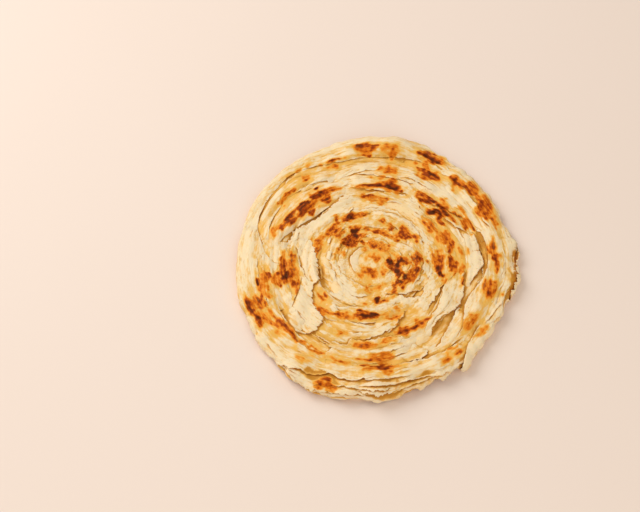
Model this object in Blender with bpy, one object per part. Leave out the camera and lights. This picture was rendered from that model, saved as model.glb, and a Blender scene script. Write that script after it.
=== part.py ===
"""Paratha: a round flaky flatbread, coiled from one pleated rope of dough and pressed flat.

Metres, +Z up. The origin lies on the surface that the bread rests on, under the middle of its
box. The nearest side of the bread faces -Y. The rope winds outwards clockwise, seen from above.
"""
import math

import bmesh
import bpy

# Outline of the pressed round: (direction in degrees, distance from the middle of its box).
OUTLINE = (
    (0, 0.0846),
    (20, 0.0824),
    (45, 0.0822),
    (60, 0.0860),
    (75, 0.0898),
    (100, 0.0886),
    (130, 0.0873),
    (160, 0.0853),
    (185, 0.0849),
    (210, 0.0862),
    (228, 0.0884),
    (243, 0.0914),
    (257, 0.0903),
    (272, 0.0868),
    (290, 0.0818),
    (310, 0.0798),
    (332, 0.0784),
    (348, 0.0820),
)

# Thickness, and how the top falls away to the rim.
THICKNESS = 0.0106
RIM_BAND = 0.0170
RIM_THICKNESS = 0.0052
EDGE_ROUNDING = 0.0026

# The coil: its middle, and where each turn begins as a share of the way out along +X.
COIL_MIDDLE = (-0.0080, -0.0010)
TURN_STARTS = (0.0, 0.075, 0.195, 0.40, 0.64, 0.79, 0.94, 1.10)
GROOVE_DEPTH = 0.0026
GROOVE_SHARPNESS = 3.5
PLEATS_PER_TURN = 3
PLEAT_HEIGHT = 0.0007
CALM_MIDDLE = 0.10

# Slow unevenness of the top: (waves per metre along X, along Y, height, phase in radians).
SWELLS = (
    (9.0, 4.0, 0.00050, 0.4),
    (-5.0, 11.0, 0.00045, 2.1),
    (17.0, 13.0, 0.00030, 4.0),
    (-21.0, 8.0, 0.00025, 1.3),
)

# Fineness of the mesh.
SPOKES = 112
TOP_RINGS = 34
EDGE_STEPS = 3

CRUST_COLOUR = (0.78, 0.55, 0.27, 1.0)
CRUST_ROUGHNESS = 0.6


def clear_scene():
    """Remove whatever objects the file opened with."""
    for old in list(bpy.data.objects):
        bpy.data.objects.remove(old, do_unlink=True)


def outline_point(step):
    """Point of the outline with that number, counted on round the bread, as (x, y)."""
    degrees, distance = OUTLINE[step % len(OUTLINE)]
    angle = math.radians(degrees)
    return distance * math.cos(angle), distance * math.sin(angle)


def smooth_between(before, near, far, after, share):
    """Catmull-Rom curve from near to far, steered by the points on either side."""
    bend = 2.0 * before - 5.0 * near + 4.0 * far - after
    twist = 3.0 * (near - far) + after - before
    return near + 0.5 * share * (far - before + share * (bend + share * twist))


def smooth_outline(steps_between=12):
    """The outline as a fine closed ring of (x, y) points."""
    ring = []
    for step in range(len(OUTLINE)):
        corners = [outline_point(step + offset) for offset in (-1, 0, 1, 2)]
        for fraction in range(steps_between):
            share = fraction / steps_between
            x = smooth_between(*[corner[0] for corner in corners], share)
            y = smooth_between(*[corner[1] for corner in corners], share)
            ring.append((x, y))
    return ring


def reach_of(ring, angle):
    """Distance from the coil's middle to the outline in one direction."""
    best = 0.0
    cosine = math.cos(angle)
    sine = math.sin(angle)
    for (x0, y0), (x1, y1) in zip(ring, ring[1:] + ring[:1]):
        side0 = cosine * (y0 - COIL_MIDDLE[1]) - sine * (x0 - COIL_MIDDLE[0])
        side1 = cosine * (y1 - COIL_MIDDLE[1]) - sine * (x1 - COIL_MIDDLE[0])
        if (side0 <= 0.0) == (side1 <= 0.0):
            continue
        share = side0 / (side0 - side1)
        x = x0 + share * (x1 - x0) - COIL_MIDDLE[0]
        y = y0 + share * (y1 - y0) - COIL_MIDDLE[1]
        best = max(best, cosine * x + sine * y)
    return best


def turn_at(share):
    """Number of turns of the coil between its middle and that share of the way out along +X."""
    for turn in range(1, len(TURN_STARTS)):
        near = TURN_STARTS[turn - 1]
        far = TURN_STARTS[turn]
        if share < far:
            return turn - 1 + (share - near) / (far - near)
    return float(len(TURN_STARTS) - 1)


def coil_relief(share, angle):
    """Depth of the grooves between the rope's turns and between its pleats.

    Both fade out over the calm middle, where the tip of the rope is pressed flat.
    """
    swept = (angle / math.tau) % 1.0
    place = (turn_at(share) + swept) % 1.0
    off_middle = abs(2.0 * place - 1.0)
    groove = GROOVE_DEPTH * off_middle ** GROOVE_SHARPNESS
    pleat = PLEAT_HEIGHT * (1.0 - off_middle) * math.cos(math.tau * PLEATS_PER_TURN * place)
    return min(1.0, share / CALM_MIDDLE) * (groove + pleat)


def swell(x, y):
    """Slow rise and fall of the top, from uneven pressing and blistering."""
    total = 0.0
    for waves_x, waves_y, height, phase in SWELLS:
        total += height * math.sin(math.tau * (waves_x * x + waves_y * y) + phase)
    return total


def rim_fall(inset):
    """How far the top has fallen at that distance inside the edge, along a quarter of an oval."""
    nearness = max(0.0, 1.0 - inset / RIM_BAND)
    return (THICKNESS - RIM_THICKNESS) * (1.0 - math.sqrt(1.0 - nearness ** 2))


def top_height(x, y, share, angle, inset):
    """Height of the top face over the resting face."""
    fade = min(1.0, inset / EDGE_ROUNDING)
    return THICKNESS - rim_fall(inset) + fade * (swell(x, y) - coil_relief(share, angle))


def spin_disc():
    """Turn a half section into a closed disc with one level of points for each ring.

    The levels run from the middle of the top, round the edge, to the middle underneath.
    """
    mesh = bmesh.new()
    levels = TOP_RINGS + EDGE_STEPS
    section = []
    for level in range(levels + 1):
        share = min(1.0, level / TOP_RINGS)
        section.append(mesh.verts.new((share, 0.0, -float(level))))
    section.append(mesh.verts.new((0.5, 0.0, -float(levels + 1))))
    section.append(mesh.verts.new((0.0, 0.0, -float(levels + 2))))
    edges = []
    for near, far in zip(section, section[1:]):
        edges.append(mesh.edges.new((near, far)))
    bmesh.ops.spin(
        mesh,
        geom=section + edges,
        cent=(0.0, 0.0, 0.0),
        axis=(0.0, 0.0, 1.0),
        angle=math.tau,
        steps=SPOKES,
        use_merge=True,
    )
    bmesh.ops.remove_doubles(mesh, verts=mesh.verts, dist=1e-5)
    bmesh.ops.recalc_face_normals(mesh, faces=mesh.faces)
    return mesh


def place_point(level, share, angle, reach):
    """Where a point of the disc goes on the bread."""
    face_reach = reach - EDGE_ROUNDING
    distance = share * face_reach
    cosine = math.cos(angle)
    sine = math.sin(angle)
    if level <= TOP_RINGS:
        x = COIL_MIDDLE[0] + distance * cosine
        y = COIL_MIDDLE[1] + distance * sine
        return x, y, top_height(x, y, share, angle, face_reach - distance)
    height = 0.0
    if level < TOP_RINGS + EDGE_STEPS:
        turn = math.pi * (level - TOP_RINGS) / EDGE_STEPS
        distance += EDGE_ROUNDING * math.sin(turn)
        height = RIM_THICKNESS * 0.5 * (1.0 + math.cos(turn))
    return COIL_MIDDLE[0] + distance * cosine, COIL_MIDDLE[1] + distance * sine, height


def shape_bread(mesh):
    """Move every point of the plain disc to its place on the bread."""
    ring = smooth_outline()
    reaches = {}
    for vert in mesh.verts:
        angle = math.atan2(vert.co.y, vert.co.x)
        key = round(angle, 4)
        if key not in reaches:
            reaches[key] = reach_of(ring, angle)
        share = math.hypot(vert.co.x, vert.co.y)
        level = round(-vert.co.z)
        vert.co = place_point(level, share, angle, reaches[key])


def centre_on_origin(mesh):
    """Slide the bread sideways until the origin is under the middle of its box."""
    xs = [vert.co.x for vert in mesh.verts]
    ys = [vert.co.y for vert in mesh.verts]
    slide = (-(min(xs) + max(xs)) / 2.0, -(min(ys) + max(ys)) / 2.0, 0.0)
    bmesh.ops.translate(mesh, verts=mesh.verts, vec=slide)


def baked_dough():
    """Pale browned dough."""
    material = bpy.data.materials.new("baked_dough")
    material.use_nodes = True
    shader = material.node_tree.nodes["Principled BSDF"]
    shader.inputs["Base Color"].default_value = CRUST_COLOUR
    shader.inputs["Roughness"].default_value = CRUST_ROUGHNESS
    shader.inputs["Metallic"].default_value = 0.0
    return material


def make_paratha():
    """The whole bread: one closed solid."""
    mesh = spin_disc()
    shape_bread(mesh)
    centre_on_origin(mesh)
    bmesh.ops.triangulate(mesh, faces=mesh.faces)
    data = bpy.data.meshes.new("paratha")
    mesh.to_mesh(data)
    mesh.free()
    data.shade_smooth()
    data.materials.append(baked_dough())
    bread = bpy.data.objects.new("paratha", data)
    bpy.context.collection.objects.link(bread)
    return bread


clear_scene()
make_paratha()
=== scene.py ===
"""Paratha: looks of a round flaky flatbread, built leaf by leaf around its solid.

A rope of thin oiled dough sheets was coiled, pressed flat and browned on a griddle. The script
follows that order: the pressed body first, then the dough leaves, each laid on those under it,
and the griddle's browning last. Metres, +Z up; listed points are in millimetres.
"""
import math

import bmesh
import bpy
import numpy as np
from mathutils import Matrix, Vector


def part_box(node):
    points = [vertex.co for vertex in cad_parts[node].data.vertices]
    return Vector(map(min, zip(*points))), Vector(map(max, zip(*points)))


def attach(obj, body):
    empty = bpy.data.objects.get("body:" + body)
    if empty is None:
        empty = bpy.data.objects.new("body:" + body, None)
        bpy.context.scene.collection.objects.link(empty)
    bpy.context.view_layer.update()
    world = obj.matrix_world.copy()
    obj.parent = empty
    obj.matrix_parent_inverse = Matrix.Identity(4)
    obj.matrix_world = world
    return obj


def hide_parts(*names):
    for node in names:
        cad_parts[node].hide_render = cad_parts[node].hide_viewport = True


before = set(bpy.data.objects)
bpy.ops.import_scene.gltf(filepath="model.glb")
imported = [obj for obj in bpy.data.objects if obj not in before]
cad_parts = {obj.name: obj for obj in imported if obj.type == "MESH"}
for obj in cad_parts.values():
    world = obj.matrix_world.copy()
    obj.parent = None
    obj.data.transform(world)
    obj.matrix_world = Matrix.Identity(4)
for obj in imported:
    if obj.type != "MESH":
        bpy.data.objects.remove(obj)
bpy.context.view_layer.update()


# ---- View -----------------------------------------------------------------------------------
# A camera with a long lens, held one metre away, looks down on the bread from the near side.
# The bread stands a little right of the middle of the view. It is no part of the bread.
VIEW_ELEVATION = math.radians(60.0)
VIEW_DISTANCE = 1.0
VIEW_AIM = Vector((-0.0336, 0.0030, 0.0080))
VIEW_WIDTH = 0.37517
SENSOR_WIDTH = 36.0

camera_data = bpy.data.cameras.new("camera")
camera_data.sensor_width = SENSOR_WIDTH
camera_data.lens = SENSOR_WIDTH * VIEW_DISTANCE / VIEW_WIDTH
camera = bpy.data.objects.new("camera", camera_data)
bpy.context.scene.collection.objects.link(camera)
towards_camera = Vector((0.0, -math.cos(VIEW_ELEVATION), math.sin(VIEW_ELEVATION)))
camera.location = VIEW_AIM + towards_camera * VIEW_DISTANCE
camera.rotation_euler = (math.pi / 2.0 - VIEW_ELEVATION, 0.0, 0.0)
bpy.context.scene.camera = camera


# ---- Floor and light ------------------------------------------------------------------------
# A pale painted table top, a large soft window light from behind on the left, and a weaker,
# warmer one from the near side, with a little light from all round.
TABLE_HALF = 1.5


def tint(red, green, blue):
    """Linear colour for a colour given as on a screen, from 0 to 255."""
    linear = []
    for value in (red, green, blue):
        share = value / 255.0
        linear.append(share / 12.92 if share <= 0.04045 else ((share + 0.055) / 1.055) ** 2.4)
    return (*linear, 1.0)


def table_finish():
    """Smooth painted board with a trace of unevenness."""
    material = bpy.data.materials.new("table")
    material.use_nodes = True
    nodes = material.node_tree.nodes
    links = material.node_tree.links
    shader = nodes["Principled BSDF"]
    shader.inputs["Roughness"].default_value = 0.7
    place = nodes.new("ShaderNodeTexCoord")
    cloud = nodes.new("ShaderNodeTexNoise")
    cloud.inputs["Scale"].default_value = 3.0
    links.new(place.outputs["Object"], cloud.inputs["Vector"])
    mix = nodes.new("ShaderNodeMix")
    mix.data_type = "RGBA"
    mix.inputs["A"].default_value = tint(243, 228, 219)
    mix.inputs["B"].default_value = tint(247, 233, 225)
    links.new(cloud.outputs["Fac"], mix.inputs["Factor"])
    links.new(mix.outputs["Result"], shader.inputs["Base Color"])
    return material


table_mesh = bmesh.new()
bmesh.ops.create_grid(table_mesh, x_segments=2, y_segments=2, size=TABLE_HALF)
table_data = bpy.data.meshes.new("table")
table_mesh.to_mesh(table_data)
table_mesh.free()
table_data.materials.append(table_finish())
table = bpy.data.objects.new("table", table_data)
bpy.context.scene.collection.objects.link(table)


def soft_light(name, place, size, power, colour):
    """A square soft light at that place, turned to face the bread."""
    data = bpy.data.lights.new(name, "AREA")
    data.shape = "SQUARE"
    data.size = size
    data.energy = power
    data.color = colour
    light = bpy.data.objects.new(name, data)
    light.location = place
    light.rotation_euler = (-Vector(place)).to_track_quat("-Z", "Y").to_euler()
    bpy.context.scene.collection.objects.link(light)


soft_light("window", place=(-0.78, 0.52, 0.90), size=0.95, power=10.3, colour=(1.0, 0.96, 0.90))
soft_light("fill", place=(0.4, -1.0, 0.7), size=1.0, power=4.4, colour=(1.0, 0.89, 0.74))
world = bpy.data.worlds.new("room")
world.use_nodes = True
world.node_tree.nodes["Background"].inputs["Color"].default_value = (1.0, 0.92, 0.82, 1.0)
world.node_tree.nodes["Background"].inputs["Strength"].default_value = 0.49
bpy.context.scene.world = world
bpy.context.scene.view_settings.view_transform = "Standard"


# ---- Pressed body ---------------------------------------------------------------------------
# The middle of the pressed coil, where the sheets have fused: dense pale dough that shows only
# in the gaps between the leaves. It takes its outline and its height from the bread's solid,
# less the room that the leaves need. Its skin, unrolled flat, is the map the leaves are laid on.
MM = 0.001
COIL_MIDDLE = np.array((-5.0, -1.0)) * MM
LEAF_ROOM_TOP = 6.0 * MM
LEAF_ROOM_RIM = 3.0 * MM
RIM_BAND = 15.0 * MM
RIM_MIDDLE = 3.2 * MM
RIM_UNDERCUT = 3.0 * MM
UNDERSIDE_END = -0.02
GROUND_GAP = 0.15 * MM
USUAL_PILE = 2.0 * MM
PRESS_START = 6.5 * MM
PRESS_GIVE = 0.58
PLEAT_HEIGHT = 0.65 * MM
PLEAT_LEVEL = 0.7
PLEAT_FADE = 8.0 * MM
TURN_RIDGE = 0.65 * MM
OUTSIDE = 0.2
TOP_RINGS = 70
UNDER_RINGS = 30
BODY_SPOKES = 360
MAP_HALF = 106.0 * MM
MAP_CELL = 0.4 * MM

chance = np.random.default_rng(11)
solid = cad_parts["paratha"]
body_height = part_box("paratha")[1].z - LEAF_ROOM_TOP


def outline_reach(angle):
    """Distance from the middle of the solid to its edge in one direction."""
    way = Vector((math.cos(angle), math.sin(angle), 0.0))
    start = way * OUTSIDE + Vector((0.0, 0.0, RIM_MIDDLE))
    _, place, _, _ = solid.ray_cast(start, -way)
    return math.hypot(place.x, place.y)


ring_angles = np.linspace(-math.pi, math.pi, 361)
ring_reach = np.array([outline_reach(angle) for angle in ring_angles]) - LEAF_ROOM_RIM

# Half section of the rim: how far out and how high the skin is, at each distance along it.
quarter = np.linspace(0.0, math.pi / 2.0, 60)
skin_out = np.concatenate((
    RIM_BAND * np.sin(quarter),
    RIM_BAND - RIM_UNDERCUT * (1.0 - np.cos(quarter[1:])),
    (UNDERSIDE_END,),
))
skin_up = np.concatenate((
    RIM_MIDDLE + (body_height - RIM_MIDDLE) * np.cos(quarter),
    RIM_MIDDLE - (RIM_MIDDLE - GROUND_GAP) * np.sin(quarter[1:]),
    (GROUND_GAP,),
))
skin_along = np.concatenate(((0.0,), np.cumsum(np.hypot(np.diff(skin_out), np.diff(skin_up)))))
skin_tilt = np.arctan2(-np.gradient(skin_up, skin_along), np.gradient(skin_out, skin_along))
rim_edge_along = skin_along[len(quarter) - 1]
pile_out = (skin_out + USUAL_PILE * np.sin(skin_tilt))[:len(quarter)]


def flat_start(angles):
    """Distance from the middle at which the flat top gives way to the rim."""
    return np.interp(angles, ring_angles, ring_reach) - RIM_BAND


def unroll(x, y):
    """Place on the unrolled skin whose pile of leaves shows at a place seen from above."""
    angles = np.arctan2(y, x)
    distance = np.hypot(x, y)
    beyond = distance - flat_start(angles)
    on_rim = np.interp(beyond, pile_out, skin_along[:len(quarter)])
    past_edge = np.maximum(beyond - pile_out[-1], 0.0)
    along = np.where(beyond > 0.0, on_rim + past_edge, beyond)
    stretched = (flat_start(angles) + along) / np.maximum(distance, 1e-9)
    return x * stretched, y * stretched


def pleat_height(x, y):
    """How far the pleats of the pressed rope raise everything at a place seen from above."""
    inner = ease((flat_start(np.arctan2(y, x)) + PLEAT_FADE - np.hypot(x, y)) / PLEAT_FADE)
    whorl = 0.4 + 0.6 * ease((coil_place(x, y)[1] - 6.0 * MM) / (14.0 * MM))
    ropes = np.minimum(np.abs(pleats(x, y)), 1.3) ** 0.8
    return PLEAT_HEIGHT * inner * whorl * (ropes - PLEAT_LEVEL)


def raise_from_skin(u, v, lift, bottom=0.05 * MM):
    """Place in space at that height over the body's skin; the press flattens what stands high."""
    angles = np.arctan2(v, u)
    start = flat_start(angles)
    along = np.hypot(u, v) - start
    out = np.where(along > 0.0, np.interp(along, skin_along, skin_out), along)
    up = np.interp(along, skin_along, skin_up)
    tilt = np.interp(along, skin_along, skin_tilt)
    distance = start + out + lift * np.sin(tilt)
    height = np.maximum(up + lift * np.cos(tilt), bottom)
    height = np.minimum(height, PRESS_START + (height - PRESS_START) * PRESS_GIVE)
    x = distance * np.cos(angles)
    y = distance * np.sin(angles)
    return x, y, height + pleat_height(x, y)


map_size = int(2 * MAP_HALF / MAP_CELL) + 1
map_axis = np.linspace(-MAP_HALF, MAP_HALF, map_size)
map_u, map_v = np.meshgrid(map_axis, map_axis)
wave_y = np.fft.fftfreq(map_size)[:, None]
wave_x = np.fft.rfftfreq(map_size)[None, :]


def read_cells(field, row, column):
    """Value between the four nearest cells of a field whose last column meets its first."""
    left = column.astype(int)
    low = row.astype(int)
    across = column - left
    up = row - low
    left = left % field.shape[1]
    right = (left + 1) % field.shape[1]
    lower = field[low, left] * (1.0 - across) + field[low, right] * across
    upper = field[low + 1, left] * (1.0 - across) + field[low + 1, right] * across
    return lower * (1.0 - up) + upper * up


def read_map(field, u, v):
    """Value of a map at any places."""
    row, column = (np.clip((axis + MAP_HALF) / MAP_CELL, 0.0, map_size - 1.001) for axis in (v, u))
    return read_cells(field, row, column)


def soften(field, reach):
    """The map blurred over that reach."""
    spread = -2.0 * (math.pi * reach / MAP_CELL) ** 2
    blur = np.exp(spread * (wave_x ** 2 + wave_y ** 2))
    return np.fft.irfft2(np.fft.rfft2(field) * blur, field.shape)


def cover(field, cells):
    """The map with every height spread over that many cells to each side."""
    wide = field
    for _ in range(cells):
        for step, axis in ((1, 0), (-1, 0), (1, 1), (-1, 1)):
            wide = np.maximum(wide, np.roll(wide, step, axis))
    return wide


def ease(value):
    """Smooth step from 0 to 1."""
    value = np.clip(value, 0.0, 1.0)
    return value * value * (3.0 - 2.0 * value)


def rumple(reach):
    """A map of smooth unevenness of that size, about 1 high."""
    field = soften(chance.standard_normal((map_size, map_size)), reach)
    return field / field.std()


def coil_place(x, y):
    """Angle round the coil's middle, and distance from it."""
    across = x - COIL_MIDDLE[0]
    up = y - COIL_MIDDLE[1]
    return np.arctan2(up, across), np.hypot(across, up)


STRAND_ANGLES = 720
STRAND_STEP = 0.3 * MM
STRAND_RINGS = 400


def strands(long, wide):
    """Reader of unevenness drawn out along the coil: that many degrees long, and that wide."""
    noise = chance.standard_normal((STRAND_RINGS, STRAND_ANGLES))
    round_way = np.fft.rfftfreq(STRAND_ANGLES)[None, :] * long * STRAND_ANGLES / 360.0
    out_way = np.fft.fftfreq(STRAND_RINGS)[:, None] * wide / STRAND_STEP
    spread = np.exp(-2.0 * math.pi ** 2 * (round_way ** 2 + out_way ** 2))
    field = np.fft.irfft2(np.fft.rfft2(noise) * spread, noise.shape)
    field /= field.std()

    def read(x, y):
        angles, distance = coil_place(x, y)
        row = np.clip(distance / STRAND_STEP, 0.0, STRAND_RINGS - 1.001)
        return read_cells(field, row, (angles / math.tau % 1.0) * STRAND_ANGLES)

    return read


lumps = rumple(3.5 * MM)
swells = rumple(11.0 * MM)
fine_strands = strands(9.0, 0.45 * MM)
broad_strands = strands(16.0, 1.5 * MM)
crease_strands = strands(13.0, 0.8 * MM)
pleats = strands(22.0, 2.0 * MM)
crumples = rumple(2.6 * MM)

# Where each turn of the coil begins, from its middle outwards, as a share of the way to the rim.
TURN_STARTS = np.array((0.0, 0.075, 0.195, 0.40, 0.64, 0.79, 0.94, 1.10, 1.30))


def coil_turn(x, y):
    """Number of turns of the coil between its middle and a place; it grows clockwise."""
    angles, distance = coil_place(x, y)
    rim = np.interp(np.arctan2(y, x), ring_angles, ring_reach)
    share = distance / (distance + np.maximum(rim - np.hypot(x, y), 0.0) + 1e-9)
    return np.interp(share, TURN_STARTS, np.arange(len(TURN_STARTS))) + (angles / math.tau) % 1.0


# Hollows (height below 0) and crests that the pressing left; their length runs round the coil.
PRESSED_SHAPES = (
    # x, y, length, width, height
    (-31, -12, 26, 9, -2.2), (-32, -25, 10, 6, -0.8), (-31, -50, 26, 6, -1.8), (-12, -51, 16, 5, -1.5),
    (35, -43, 26, 6, -2.6), (21, -21, 12, 5, -1.8), (31, -29, 9, 4, -1.5), (17, -37, 16, 9, -1.6),
    (61, 6, 24, 5, -2.4), (-38, 28, 60, 4, -1.6), (-55, -6, 44, 6, -1.5), (0, 70, 56, 4, -1.2),
    (-46, 59, 34, 3, -0.4), (-56, -33, 16, 3, -1.2), (50, -14, 26, 3, -1.2), (48, -31, 10, 3, -1.2),
    (29, -61, 10, 4, -1.1), (23, -68, 12, 3, -0.9), (-31, -77, 22, 4, -1.6), (8, 47, 26, 3, -1.0),
    (-73, 5, 76, 13, 0.9), (-60, 50, 60, 12, 0.8), (0, 79, 64, 9, 0.6), (-46, 35, 48, 8, 0.9),
    (-41, 2, 44, 8, 0.7), (-16, -36, 46, 7, 0.9), (0, -64, 64, 11, 0.8), (67, -15, 60, 9, 0.7),
    (63, 34, 44, 9, 0.8), (42, 27, 30, 8, 0.7), (8, 57, 44, 10, 0.6), (-4, 0, 24, 24, 0.5),
    (42, -24, 30, 8, 0.9), (12, -28, 20, 5, 0.6),
)


def along_coil(place, away_x, away_y):
    """How far along the coil's way at a place, and how far across it, an offset goes."""
    turn = math.atan2(place[1] - COIL_MIDDLE[1], place[0] - COIL_MIDDLE[0]) + math.pi / 2.0
    along = away_x * math.cos(turn) + away_y * math.sin(turn)
    across = -away_x * math.sin(turn) + away_y * math.cos(turn)
    return along, across


def pressed_relief():
    """Heights of the body's skin over its plain shape, on the unrolled map."""
    calm = ease((coil_place(map_u, map_v)[1] - 3.0 * MM) / (25.0 * MM))
    across_turn = 2.0 * (coil_turn(map_u, map_v) % 1.0) - 1.0
    field = TURN_RIDGE * (0.2 + 0.8 * calm) * (1.0 - np.abs(across_turn) ** 3)
    field += 0.25 * MM * swells + 0.15 * MM * lumps
    for x, y, long, wide, height in PRESSED_SHAPES:
        u, v = unroll(np.array(x * MM), np.array(y * MM))
        along, across = along_coil((u, v), map_u - u, map_v - v)
        bend = coil_place(u, v)[1]
        across = across + np.clip(along, -0.5 * long * MM, 0.5 * long * MM) ** 2 / (2.0 * bend)
        off = (1.7 * along / (long * MM)) ** 4 + (2.0 * across / (wide * MM)) ** 2
        field += height * MM * np.exp(-off)
    return soften(field, 0.6 * MM)


laid = pressed_relief()


def baked_dough_group():
    """Colour, gloss and relief of baked dough.

    Each point of a mesh says how golden and how browned it is, and how much painted gap shade it takes;
    its golden share holds painted shade and painted highlight too.
    """
    group = bpy.data.node_groups.new("baked_dough_look", "ShaderNodeTree")
    for name in ("Cream", "Golden", "Gap_shade"):
        group.interface.new_socket(name, in_out="INPUT", socket_type="NodeSocketColor")
    for name, kind in (("Color", "Color"), ("Roughness", "Float"), ("Height", "Float")):
        group.interface.new_socket(name, in_out="OUTPUT", socket_type="NodeSocket" + kind)
    nodes = group.nodes
    links = group.links
    given = nodes.new("NodeGroupInput").outputs
    result = nodes.new("NodeGroupOutput").inputs
    place = nodes.new("ShaderNodeTexCoord").outputs["Object"]

    def give(socket, value):
        """Set a socket to a number or a colour, or link it to another socket."""
        if isinstance(value, bpy.types.NodeSocket):
            links.new(value, socket)
        else:
            socket.default_value = value

    def read(attribute):
        node = nodes.new("ShaderNodeAttribute")
        node.attribute_name = attribute
        return node.outputs["Fac"]

    def noise(scale, detail, at=place):
        node = nodes.new("ShaderNodeTexNoise")
        give(node.inputs["Scale"], scale)
        give(node.inputs["Detail"], detail)
        give(node.inputs["Vector"], at)
        return node.outputs["Fac"]

    def reckon(kind, *values, node_kind="ShaderNodeMath", output="Value"):
        """Sum, difference, product or the like of numbers or vectors."""
        node = nodes.new(node_kind)
        node.operation = kind
        for socket, value in zip(node.inputs, values):
            give(socket, value)
        return node.outputs[output]

    def reckon_vector(kind, *values, output="Vector"):
        return reckon(kind, *values, node_kind="ShaderNodeVectorMath", output=output)

    def plus(first, second):
        return reckon("ADD", first, second)

    def times(first, second):
        return reckon("MULTIPLY", first, second)

    def centred(value, strength):
        """The value less one half, at that strength."""
        return times(reckon("SUBTRACT", value, 0.5), strength)

    def between(value, low, high):
        node = nodes.new("ShaderNodeMapRange")
        node.interpolation_type = "SMOOTHSTEP"
        give(node.inputs["From Min"], low)
        give(node.inputs["From Max"], high)
        give(node.inputs["Value"], value)
        return node.outputs["Result"]

    def blend_colours(factor, first, second):
        node = nodes.new("ShaderNodeMix")
        node.data_type = "RGBA"
        for key, value in (("Factor", factor), ("A", first), ("B", second)):
            give(node.inputs[key], value)
        return node.outputs["Result"]

    def fibres(count, wide):
        """Streaks along the coil, how many go round and how wide; crumbs in the whorl's middle."""
        from_middle = reckon_vector("SUBTRACT", place, (*COIL_MIDDLE, 0.0))
        flat = reckon_vector("MULTIPLY", from_middle, (1.0, 1.0, 0.0))
        out = reckon_vector("LENGTH", flat, output="Value")
        way = reckon_vector("NORMALIZE", flat)
        round_way = reckon_vector("MULTIPLY", way, (count / math.tau,) * 3)
        rise = nodes.new("ShaderNodeCombineXYZ")
        give(rise.inputs["Z"], times(out, 1.0 / wide))
        streaks = noise(1.0, 3.0, at=reckon_vector("ADD", round_way, rise.outputs["Vector"]))
        drawn = centred(streaks, between(out, 0.004, 0.014))
        crumbs = centred(noise(0.7 / wide, 3.0), between(out, 0.014, 0.004))
        return plus(drawn, crumbs)

    # Plain dough: cream where dry, golden where oil or heat reached it; both attributes also carry
    # painted shade, golden and deep gold in creases and gaps, and painted highlight on lips.
    thin_fibres = fibres(90.0, 0.0011)
    floury = centred(noise(700.0, 3.0), 0.5)
    streaked = plus(plus(times(fibres(40.0, 0.0028), 0.65), times(thin_fibres, 1.6)), floury)
    golden = between(plus(read("golden"), streaked), 0.05, 0.95)
    dough = blend_colours(golden, given["Cream"], given["Golden"])
    dough = blend_colours(between(read("gap_shade"), 0.1, 1.0), dough, given["Gap_shade"])

    # Browned dough: from yellow at a patch's edge through orange to nearly black blisters.
    crumbly = plus(centred(noise(480.0, 4.0), 0.6), times(thin_fibres, 0.9))
    heat = read("browned")
    browned = plus(heat, times(crumbly, between(heat, 0.02, 0.4)))
    crust = nodes.new("ShaderNodeValToRGB")
    stops = crust.color_ramp.elements
    stops[0].position = 0.08
    stops[0].color = tint(247, 198, 104)
    stops[1].position = 1.0
    stops[1].color = tint(86, 34, 12)
    for position, shade in ((0.26, (244, 166, 60)), (0.46, (230, 126, 22)), (0.68, (166, 66, 10))):
        stops.new(position).color = tint(*shade)
    give(crust.inputs["Fac"], browned)
    colour = blend_colours(between(browned, 0.04, 0.22), dough, crust.outputs["Color"])

    # Fine golden dashes along the fibres, and brown specks where the griddle was dusty.
    dash = times(between(thin_fibres, 0.07, 0.17), between(noise(110.0, 2.0), 0.50, 0.60))
    colour = blend_colours(times(dash, 0.35), colour, tint(206, 164, 86))
    speck = times(between(noise(820.0, 1.0), 0.735, 0.775), between(noise(60.0, 2.0), 0.47, 0.60))
    colour = blend_colours(times(speck, 0.65), colour, tint(150, 84, 30))
    give(result["Color"], colour)
    give(result["Roughness"], plus(times(browned, 0.18), 0.42))
    grain = plus(noise(900.0, 5.0), times(thin_fibres, 1.2))
    give(result["Height"], plus(grain, times(browned, -0.5)))
    return group


dough_look = baked_dough_group()


def dough_finish(name, cream, golden, gap_shade):
    """A dough material with its own colours, the baked dough's look and a faint oily sheen."""
    material = bpy.data.materials.new(name)
    material.use_nodes = True
    nodes = material.node_tree.nodes
    links = material.node_tree.links
    shader = nodes["Principled BSDF"]
    shader.inputs["Specular IOR Level"].default_value = 0.2
    shader.inputs["Specular Tint"].default_value = (1.0, 0.75, 0.4, 1.0)
    shader.inputs["Subsurface Weight"].default_value = 0.15
    shader.inputs["Subsurface Radius"].default_value = (0.7, 0.5, 0.3)
    shader.inputs["Subsurface Scale"].default_value = 0.0012
    look = nodes.new("ShaderNodeGroup")
    look.node_tree = dough_look
    for socket, colour in (("Cream", cream), ("Golden", golden), ("Gap_shade", gap_shade)):
        look.inputs[socket].default_value = tint(*colour)
    links.new(look.outputs["Color"], shader.inputs["Base Color"])
    links.new(look.outputs["Roughness"], shader.inputs["Roughness"])
    grain = nodes.new("ShaderNodeBump")
    grain.inputs["Strength"].default_value = 0.4
    grain.inputs["Distance"].default_value = 0.0004
    links.new(look.outputs["Height"], grain.inputs["Height"])
    links.new(grain.outputs["Normal"], shader.inputs["Normal"])
    return material


def show_piece(name, mesh, material):
    """Make a piece from a finished mesh and put it on the bread."""
    mesh.shade_smooth()
    mesh.materials.append(material)
    piece = bpy.data.objects.new(name, mesh)
    bpy.context.scene.collection.objects.link(piece)
    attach(piece, "root")
    return piece


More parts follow.
